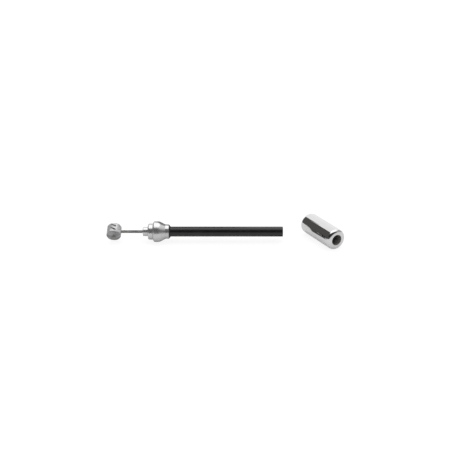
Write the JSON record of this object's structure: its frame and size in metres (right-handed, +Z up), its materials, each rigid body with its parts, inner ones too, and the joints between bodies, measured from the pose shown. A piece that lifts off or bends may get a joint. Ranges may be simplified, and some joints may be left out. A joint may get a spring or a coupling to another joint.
{
  "type": "bicycle brake cable end",
  "caption": "Lever end of a brake cable: barrel nipple on stranded wire, flanged ferrule on short black casing, with a loose tubular end sleeve.",
  "frame": {"origin": "centre of the ferrule's shoulder plane, on the cable's axis, where the flange meets the step that goes into the lever", "axes": "+X along the cable towards its cut end, +Y behind the cable, +Z up from the table; the table is 5.2 mm below the axis"},
  "size_m": [0.1177, 0.0253, 0.0104],
  "materials": {
    "nipple_zinc": "die-cast zinc, dull",
    "strand_steel": "drawn wire, satin",
    "coil_steel": "flat spring wire",
    "liner_plastic": "slippery, off-white",
    "jacket_plastic": "extruded, soft gloss",
    "ferrule_metal": "turned and polished",
    "seal_rubber": "moulded",
    "sleeve_chrome": "mirror plated"
  },
  "bodies": {
    "casing": {"liner": "liner_plastic", "casing_coil": "coil_steel", "casing_jacket": "jacket_plastic"},
    "inner_cable": {"nipple": "nipple_zinc", "wire_core": "strand_steel", "wire_inner_1": "strand_steel", "wire_inner_2": "strand_steel", "wire_inner_3": "strand_steel", "wire_inner_4": "strand_steel", "wire_inner_5": "strand_steel", "wire_inner_6": "strand_steel", "wire_outer_1": "strand_steel", "wire_outer_2": "strand_steel", "wire_outer_3": "strand_steel", "wire_outer_4": "strand_steel", "wire_outer_5": "strand_steel", "wire_outer_6": "strand_steel", "wire_outer_7": "strand_steel", "wire_outer_8": "strand_steel", "wire_outer_9": "strand_steel", "wire_outer_10": "strand_steel", "wire_outer_11": "strand_steel", "wire_outer_12": "strand_steel"},
    "ferrule": {"ferrule": "ferrule_metal", "mouth_seal": "seal_rubber"},
    "end_sleeve": {"end_sleeve": "sleeve_chrome"}
  },
  "joints": [
    {"name": "cable_pull", "type": "slide", "parent": "casing", "child": "inner_cable", "axis": [-1, 0, 0], "range_m": [-0.0106, 0.015]},
    {"name": "ferrule_turn", "type": "hinge", "parent": "casing", "child": "ferrule", "pos_m": [0, 0, 0], "axis": [1, 0, 0], "continuous": true},
    {"name": "sleeve_away", "type": "slide", "parent": "casing", "child": "end_sleeve", "axis": [1, 0, 0], "range_m": [0, 0.03]}
  ]
}
